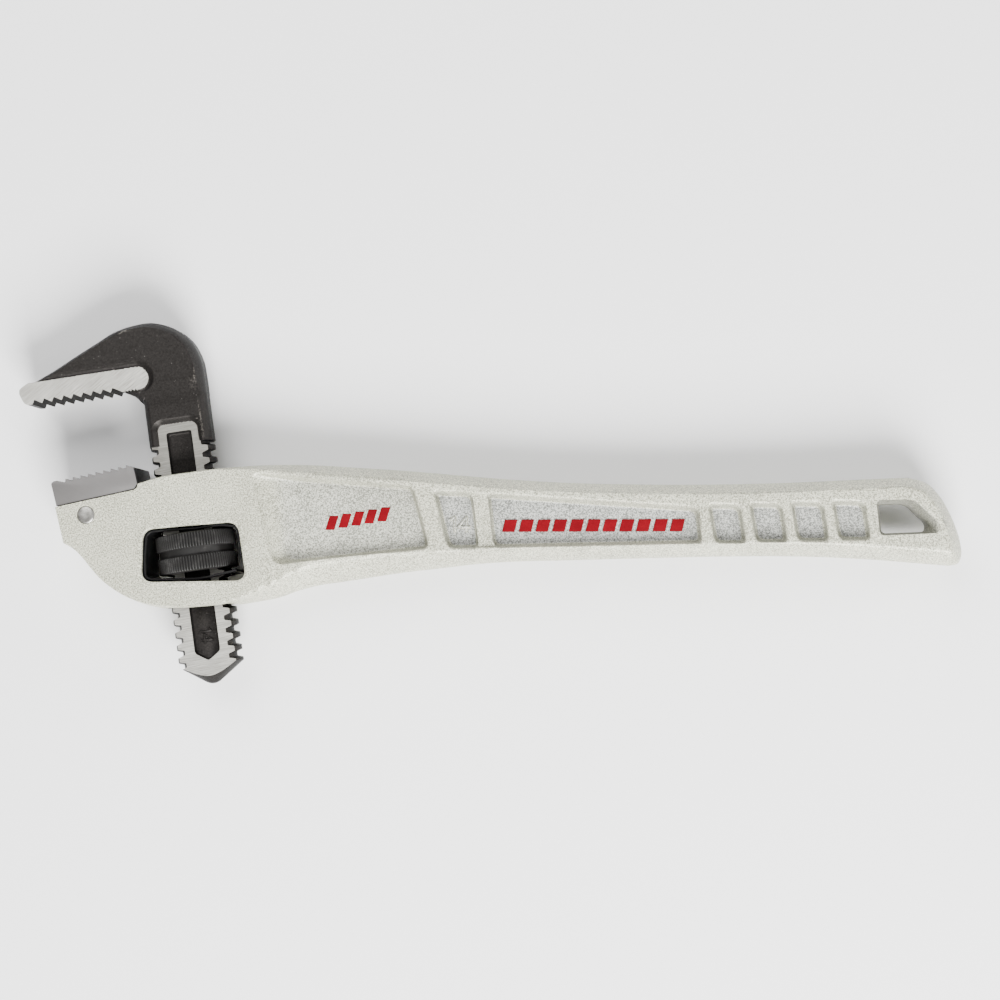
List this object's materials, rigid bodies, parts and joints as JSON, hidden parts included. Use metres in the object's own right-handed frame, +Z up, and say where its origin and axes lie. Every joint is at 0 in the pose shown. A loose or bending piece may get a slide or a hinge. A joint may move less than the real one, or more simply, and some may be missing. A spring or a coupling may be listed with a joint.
{
  "type": "pipe wrench",
  "caption": "Straight 14-inch pipe wrench with a cast handle and housing, a floating hook jaw, a pinned heel jaw and a knurled adjusting nut.",
  "frame": {"origin": "middle of the underside of the box around the wrench as it lies flat", "axes": "+X along the handle from the jaws to its end, +Y towards the hook jaw, +Z up through the thickness"},
  "size_m": [0.376, 0.1454, 0.032],
  "materials": {
    "cast_handle": "cast, bead blasted and lacquered",
    "machined_steel": "ground",
    "pin_steel": "bright, domed ends",
    "forged_jaw": "forged, oiled, with ground faces",
    "blackened_steel": "blackened, straight knurl",
    "spring_black": "blackened spring strip",
    "spring_steel": "oiled spring steel"
  },
  "bodies": {
    "wrench_body": {"handle": "cast_handle", "heel_jaw": "machined_steel", "heel_jaw_pin": "pin_steel"},
    "rocking_springs": {"nut_band_spring": "spring_black", "shank_leaf_spring": "spring_steel", "shank_coil_spring": "spring_steel"},
    "hook": {"hook_jaw": "forged_jaw"},
    "nut": {"adjusting_nut": "blackened_steel"}
  },
  "joints": [
    {"name": "jaw_rock", "type": "hinge", "parent": "wrench_body", "child": "rocking_springs", "pos_m": [-0.11595, -0.02001, 0.016], "axis": [0, 0, 1], "range_deg": [-2, 2], "stiffness_Nm_per_rad": 10, "deforming": ["nut_band_spring", "shank_leaf_spring", "shank_coil_spring"]},
    {"name": "hook_slide", "type": "slide", "parent": "rocking_springs", "child": "hook", "axis": [-0.1444, 0.9895, 0], "range_m": [-0.027, 0.03]},
    {"name": "nut_spin", "type": "hinge", "parent": "rocking_springs", "child": "nut", "pos_m": [-0.11595, -0.02001, 0.016], "axis": [-0.1444, 0.9895, 0], "range_deg": [-2140, 1925]}
  ],
  "couplings": [
    {"joint": "nut_spin", "follows": "hook_slide", "rad_per_m": -1236.8}
  ]
}
